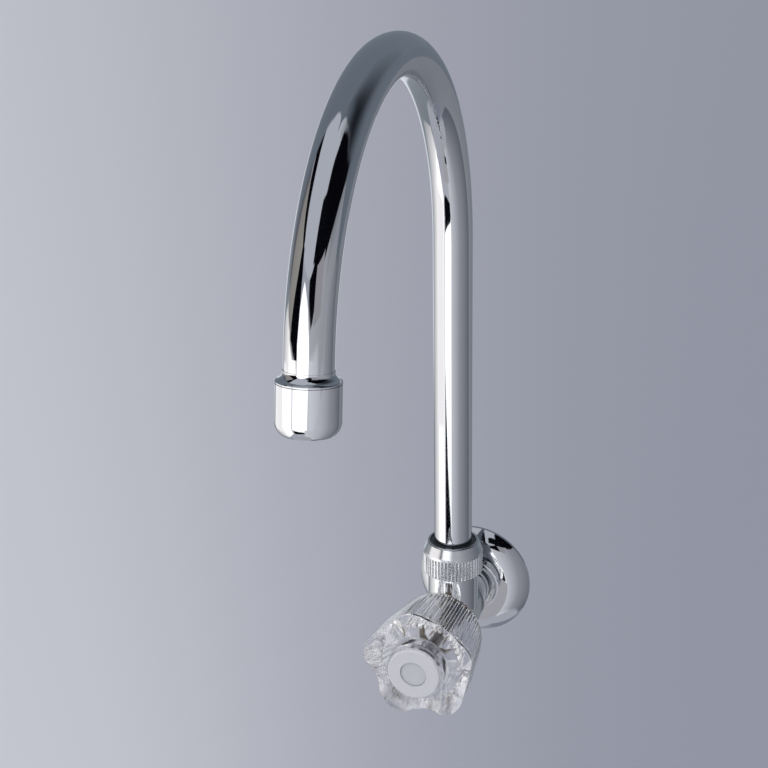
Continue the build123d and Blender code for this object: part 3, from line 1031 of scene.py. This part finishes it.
@dataclass
class Studio:
    """The pale floor, the soft light, the cards round the set and the camera."""

    eye: Point = (0.22608, -0.76434, 0.42141)
    azimuth: float = 19.88
    depression: float = 21.24
    roll: float = -0.99
    lens: float = 77.99
    sensor: float = 36.0
    floor_half: float = 40.0
    floor_cells: int = 8
    floor_drop: float = 3.0  # below the faucet, which hangs on a wall and stands on nothing
    floor_colour: str = "#D0D2DC"
    floor_painted_shade: str = "#999CAC"
    paper_roughness: float = 0.85
    paper_grain_mm: float = 2.0
    paper_grain_depth_mm: float = 0.02
    # The backdrop's painted shade lies this way and fades in over the span below.
    shade_way: Point = (0.26, 0.97, 0.0)  # from the faucet to the middle of the shaded side
    shade_span: tuple[float, float] = (0.6, 0.95)  # how squarely that way the shade is in full
    sky_colour: str = "#BFC1CB"
    sky_painted_shade: str = "#8F92A1"
    ambient: float = 0.85
    lamps: tuple[Lamp, ...] = (
        Lamp("key_softbox", (-1.1, -1.3, 1.7), 1.4, 9.0),
        Lamp("fill_softbox", (1.4, -1.0, 1.3), 1.6, 3.0),
        Lamp("top_softbox", (0.0, 0.2, 2.2), 2.0, 5.0),
    )
    cards: tuple[Card, ...] = (
        # The white band down the front of the riser, the leg and the aerator.
        Card(
            "front_softbox",
            (
                (-31, -22), (-31, 0), (-28, 8), (-27, 14), (-22, 20), (-17, 25), (-9, 23),
                (2, 19), (9, 15), (14, 9), (18, 4), (21, -3), (12, -14), (8, -22),
            ),
            "#FFFFFF",
            strength=2.0,
            distance=1.6,
            feather=0.05,
            reach=Reach.MIRRORED_AND_THROUGH,
        ),
        # The white left side of the nut, the body and the aerator.
        Card(
            "near_left_softbox",
            ((-36, -12), (-35, 22), (-60, 17), (-84, 10), (-84, -12)),
            "#F4EFEE",
            distance=0.36,
            feather=0.06,
            place=Place.NUT,
            reach=Reach.MIRRORED_AND_THROUGH,
        ),
        # The grey right side of the nut, the body and the flange.
        Card(
            "near_right_panel",
            ((10, -62), (10, 22), (44, 23), (50, 34), (56, 34), (56, -62)),
            "#C0C0C5",
            far_tone="#8E8E95",
            distance=0.37,
            feather=0.03,
            place=Place.NUT,
            reach=Reach.MIRRORED_AND_THROUGH,
        ),
        # The darker rim at the far right of the same pieces.
        Card(
            "near_far_right_panel",
            ((52, -62), (52, 34), (80, 34), (120, 20), (130, -30), (120, -62)),
            "#8E8E95",
            far_tone="#54575F",
            distance=0.375,
            feather=0.05,
            place=Place.NUT,
        ),
        # The grey under the middle of the nut and of the flange.
        Card(
            "near_low_panel",
            ((-25, -30), (13, -30), (13, -66), (-25, -66)),
            "#9E9CA0",
            distance=0.36,
            feather=0.04,
            place=Place.NUT,
        ),
        # The black spot on the flange beside the neck.
        Card(
            "flange_spot",
            ((0, -38), (0, -27), (14, -26), (14, -36)),
            "#05060A",
            distance=0.18,
            feather=0.1,
            place=Place.NUT,
        ),
        # The warm grey over the upper right of the flange.
        Card(
            "flange_panel",
            ((27, 18), (27, 36), (52, 36), (52, 18)),
            "#8C8A8E",
            distance=0.87,
            feather=0.05,
            place=Place.NUT,
        ),
        # The black crescent at the top of the flange.
        Card(
            "flange_flag",
            ((10, 37), (14, 56), (30, 58), (47, 48), (47, 37)),
            "#05060A",
            distance=0.85,
            feather=0.1,
            place=Place.NUT,
        ),
        # The white left side of the tube, from below.
        Card(
            "left_softbox",
            ((-33, -42), (-33, -5), (-76, -5), (-80, -58), (-62, -56), (-45, -50)),
            "#FBF7F4",
            strength=2.0,
            distance=3.2,
            feather=0.08,
            reach=Reach.MIRRORED_AND_THROUGH,
        ),
        # Its fading side, seen in the left rim.
        Card(
            "left_softbox_side",
            ((-72, -60), (-72, -3), (-95, -3), (-118, -12), (-130, -35), (-110, -60)),
            "#8D8F94",
            far_tone="#FBF7F4",
            distance=3.3,
            feather=0.1,
            reach=Reach.MIRRORED_AND_THROUGH,
        ),
        # The warm grey left of the arch.
        Card(
            "left_panel",
            ((-92, -8), (-92, 34), (-50, 34), (-50, -8)),
            "#827E7A",
            far_tone="#8E8A84",
            distance=3.4,
            feather=0.05,
        ),
        # The dark line at its far side.
        Card(
            "left_dark_panel",
            ((-105, -4), (-105, 34), (-90, 34), (-90, -4)),
            "#5A5A60",
            distance=3.5,
            feather=0.3,
        ),
        # The pale grey along the top of the arch.
        Card(
            "ceiling_panel",
            (
                (-106, 46), (-70, 40), (-45, 29), (22, 24), (34, 50), (60, 66), (112, 68),
                (150, 89), (-150, 89), (-128, 78), (-110, 62),
            ),
            "#A8AAB1",
            distance=3.4,
            feather=0.08,
            reach=Reach.MIRRORED_AND_THROUGH,
        ),
        # The black streak over the left shoulder of the arch.
        Card(
            "left_arc_flag",
            (
                (-104, 34), (-104, 49), (-80, 48.5), (-70, 46), (-58, 40), (-42, 33), (-44, 28),
                (-54, 29), (-65, 31), (-80, 33.5),
            ),
            "#030408",
            distance=3.0,
            feather=0.15,
        ),
        # The black band down the left of the leg.
        Card(
            "left_flag",
            (
                (-52, 32), (-40, 32.5), (-31, 25), (-27, 14), (-29, 6), (-31, -5), (-68, -5),
                (-66, 0), (-60, 9), (-54, 18), (-52, 25),
            ),
            "#030408",
            distance=3.0,
            feather=0.04,
        ),
        # The black band over the arch and down the right of the leg.
        Card(
            "right_flag",
            (
                (2, 26), (12, 29), (20, 33), (25, 42), (30, 52), (38, 60), (46, 66), (56, 70),
                (75, 71), (100, 71), (106, 60), (108, 50), (108, 40), (112, 30), (120, 19),
                (116, 17), (110, 18), (100, 20), (78, 22.5), (66, 22), (52, 19.5), (42, 16.5),
                (32, 11), (27, 7), (20, 6), (12, 13), (6, 18),
            ),
            "#040408",
            distance=3.0,
            feather=0.1,
        ),
        # The soft shade beside that band.
        Card(
            "right_flag_shade",
            ((70, 5), (75, 86), (165, 86), (165, 5)),
            "#1C1F25",
            distance=3.3,
            feather=0.95,
        ),
        # The grey right side of the riser and the leg.
        Card(
            "right_panel",
            ((8, -14), (18, 24), (52, 26), (100, 26), (118, 14), (119, -14)),
            "#A9A8AC",
            far_tone="#85868D",
            distance=3.4,
            feather=0.05,
            reach=Reach.MIRRORED_AND_THROUGH,
        ),
        # The paler stretch in the middle of that side.
        Card(
            "right_glow",
            ((14, -22), (14, 0), (60, 0), (70, -22)),
            "#CECFD4",
            far_tone="#A8A8AE",
            distance=3.3,
            feather=0.4,
            reach=Reach.MIRRORED_AND_THROUGH,
        ),
        # The pale right side, from below.
        Card(
            "low_right_panel",
            ((6, -65), (6, -10), (60, -10), (60, -65)),
            "#CACACF",
            far_tone="#909199",
            distance=3.3,
            feather=0.06,
            reach=Reach.MIRRORED_AND_THROUGH,
        ),
        # Its darker far side.
        Card(
            "low_far_right_panel",
            ((50, -65), (50, -8), (190, -8), (190, -65)),
            "#9A9BA2",
            far_tone="#64686F",
            distance=3.4,
            feather=0.06,
        ),
        # The white at the lower front of the rounded pieces.
        Card(
            "low_front_softbox",
            ((-31, -32), (-31, -12), (10, -12), (8, -32)),
            "#FFFFFF",
            strength=2.0,
            distance=3.1,
            feather=0.04,
            reach=Reach.MIRRORED_AND_THROUGH,
        ),
        # The grey under it.
        Card(
            "low_front_panel",
            ((-34, -60), (-34, -40), (10, -40), (10, -60)),
            "#A8A8AE",
            distance=3.3,
            feather=0.1,
        ),
        # The dark bar between them.
        Card(
            "low_flag",
            (
                (-30, -22), (-24, -24), (-12, -27), (6, -29.5), (9, -32), (8, -41), (-8, -44),
                (-24, -45), (-30, -42),
            ),
            "#05060A",
            distance=3.0,
            feather=0.08,
        ),
        # The room behind, seen in the left rims and from the back.
        Card(
            "back_left_wall",
            ((-200, 0), (-98, 0), (-98, 89), (-200, 89)),
            "#616871",
            distance=3.6,
            feather=0.04,
        ),
        # The same from below.
        Card(
            "back_left_low_wall",
            ((-200, -65), (-95, -65), (-95, 20), (-200, 20)),
            "#777C82",
            distance=3.7,
            feather=0.05,
        ),
        # A paler stretch in it.
        Card(
            "back_left_glow",
            ((-172, -25), (-172, -3), (-125, -3), (-115, -25)),
            "#B8BCC2",
            distance=3.5,
            feather=0.6,
        ),
        # The room behind at the right.
        Card(
            "back_right_wall",
            ((108, -12), (200, -12), (200, 89), (108, 89)),
            "#5E656E",
            distance=3.65,
            feather=0.04,
        ),
    )

    def aim(self) -> Matrix:
        """Work out the camera's placement from its direction.

        Returns:
            The camera's matrix.
        """
        a, e, q = (math.radians(v) for v in (self.azimuth, self.depression, self.roll))
        ahead = Vector((-math.sin(a) * math.cos(e), math.cos(a) * math.cos(e), -math.sin(e)))
        level = Vector((math.cos(a), math.sin(a), 0.0))
        up = level.cross(ahead)
        right = math.cos(q) * level + math.sin(q) * up
        top = -math.sin(q) * level + math.cos(q) * up
        turn = Matrix((right, top, -ahead)).transposed().to_4x4()
        return Matrix.Translation(self.eye) @ turn

    def camera(self) -> bpy.types.Object:
        """Place the camera where the photograph was taken from.

        Returns:
            The camera.
        """
        data = bpy.data.cameras.new("camera")
        data.lens = self.lens
        data.sensor_width = self.sensor
        made = bpy.data.objects.new("camera", data)
        made.matrix_world = self.aim()
        bpy.context.scene.collection.objects.link(made)
        bpy.context.scene.camera = made
        return made

    def shaded_side(
        self, tree: bpy.types.NodeTree, place: bpy.types.NodeSocket
    ) -> bpy.types.NodeSocket:
        """Find how far a place or a direction lies to the backdrop's side of painted shade.

        Args:
            tree: The tree that takes the nodes.
            place: The place on the floor, or the direction in the sky.

        Returns:
            Zero on the pale side, rising to one in the middle of the shaded one.
        """
        flat = add_node(
            tree,
            "ShaderNodeVectorMath",
            {"operation": "MULTIPLY"},
            {0: place, 1: (1.0, 1.0, 0.0)},
        )
        way = add_node(
            tree, "ShaderNodeVectorMath", {"operation": "NORMALIZE"}, {0: flat.outputs[0]}
        )
        along = add_node(
            tree,
            "ShaderNodeVectorMath",
            {"operation": "DOT_PRODUCT"},
            {0: way.outputs[0], 1: self.shade_way},
        )
        return add_node(
            tree,
            "ShaderNodeMapRange",
            {"interpolation_type": "SMOOTHSTEP"},
            {
                "Value": along.outputs["Value"],
                "From Min": self.shade_span[0],
                "From Max": self.shade_span[1],
            },
        ).outputs[0]

    def floor(self) -> bpy.types.Object:
        """Lay a pale paper floor well under the faucet, darker on one side with painted shade.

        Returns:
            The floor.
        """
        low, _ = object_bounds()
        bm = bmesh.new()
        cells = self.floor_cells
        bmesh.ops.create_grid(bm, x_segments=cells, y_segments=cells, size=self.floor_half)
        bmesh.ops.translate(bm, verts=bm.verts, vec=(0.0, 0.0, low.z - self.floor_drop))
        mesh = bpy.data.meshes.new("paper_floor")
        bm.to_mesh(mesh)
        bm.free()
        made_of, tree = new_material("matt_seamless_paper")
        grain = speckle(tree, self.paper_grain_mm)
        place = add_node(tree, "ShaderNodeTexCoord")
        shader = add_node(
            tree,
            "ShaderNodeBsdfPrincipled",
            inputs={
                # Painted shade: the floor's colour darkens towards its shaded side.
                "Base Color": tinted(
                    tree,
                    self.shaded_side(tree, place.outputs["Object"]),
                    self.floor_colour,
                    self.floor_painted_shade,
                ),
                "Roughness": self.paper_roughness,
                "Normal": relief(tree, grain, self.paper_grain_depth_mm),
            },
        )
        close_material(tree, shader.outputs[0])
        mesh.materials.append(made_of)
        made = bpy.data.objects.new("paper_floor", mesh)
        bpy.context.scene.collection.objects.link(made)
        made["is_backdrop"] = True
        return made

    def world(self) -> None:
        """Light the set evenly and show a pale backdrop, darker on one side with painted shade,
        to the eye, metal and glass.
        """
        world = bpy.data.worlds.new("pale_studio")
        bpy.context.scene.world = world
        world.use_nodes = True
        tree = world.node_tree
        tree.nodes.clear()
        ray = add_node(tree, "ShaderNodeLightPath")
        seen = ray.outputs["Is Camera Ray"]
        for kind in ("Is Glossy Ray", "Is Transmission Ray"):
            seen = add_node(
                tree,
                "ShaderNodeMath",
                {"operation": "MAXIMUM"},
                {0: seen, 1: ray.outputs[kind]},
            ).outputs[0]
        sight = add_node(tree, "ShaderNodeTexCoord")
        shown = add_node(
            tree,
            "ShaderNodeBackground",
            inputs={
                # Painted shade: the backdrop seen by the eye, metal and glass darkens towards its
                # shaded side.
                "Color": tinted(
                    tree,
                    self.shaded_side(tree, sight.outputs["Generated"]),
                    self.sky_colour,
                    self.sky_painted_shade,
                ),
                "Strength": 1.0,
            },
        )
        glow = add_node(
            tree,
            "ShaderNodeBackground",
            inputs={"Color": linear("#FFFFFF"), "Strength": self.ambient},
        )
        mix = add_node(
            tree,
            "ShaderNodeMixShader",
            inputs={0: seen, 1: glow.outputs[0], 2: shown.outputs[0]},
        )
        add_node(tree, "ShaderNodeOutputWorld", inputs={"Surface": mix.outputs[0]})

    def light(self) -> None:
        """Hang the soft lamps, each aimed at the middle of the faucet."""
        low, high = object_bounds()
        middle = (low + high) / 2
        for lamp in self.lamps:
            data = bpy.data.lights.new(lamp.name, "AREA")
            data.shape = "SQUARE"
            data.size = lamp.side
            data.energy = lamp.watts
            made = bpy.data.objects.new(lamp.name, data)
            made.location = lamp.place
            way = middle - Vector(lamp.place)
            made.rotation_mode = "QUATERNION"
            made.rotation_quaternion = way.to_track_quat("-Z", "Y")
            made.visible_camera = False
            made.visible_glossy = False
            made.visible_transmission = False
            bpy.context.scene.collection.objects.link(made)

    def build(self) -> None:
        """Build the whole studio."""
        self.camera()
        self.floor()
        self.world()
        self.light()
        for card in self.cards:
            made = card.build()
            log.info("%s set up", made.name)


def main() -> None:
    """Build the faucet's looks piece by piece, then the studio round it."""
    logging.basicConfig(level=logging.INFO, format="%(name)s: %(message)s")
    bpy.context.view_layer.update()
    finishes = Finishes()
    for part in (WallSide(), Headwork(), Knob(), Gooseneck()):
        part.build(finishes)
        log.info("%s done", type(part).__name__)
    Studio().build()
    scene = bpy.context.scene
    scene.view_settings.view_transform = "Standard"
    for limit, crossings in RAY_LIMITS.items():
        setattr(scene.cycles, limit, crossings)


if __name__ == "__main__":
    main()
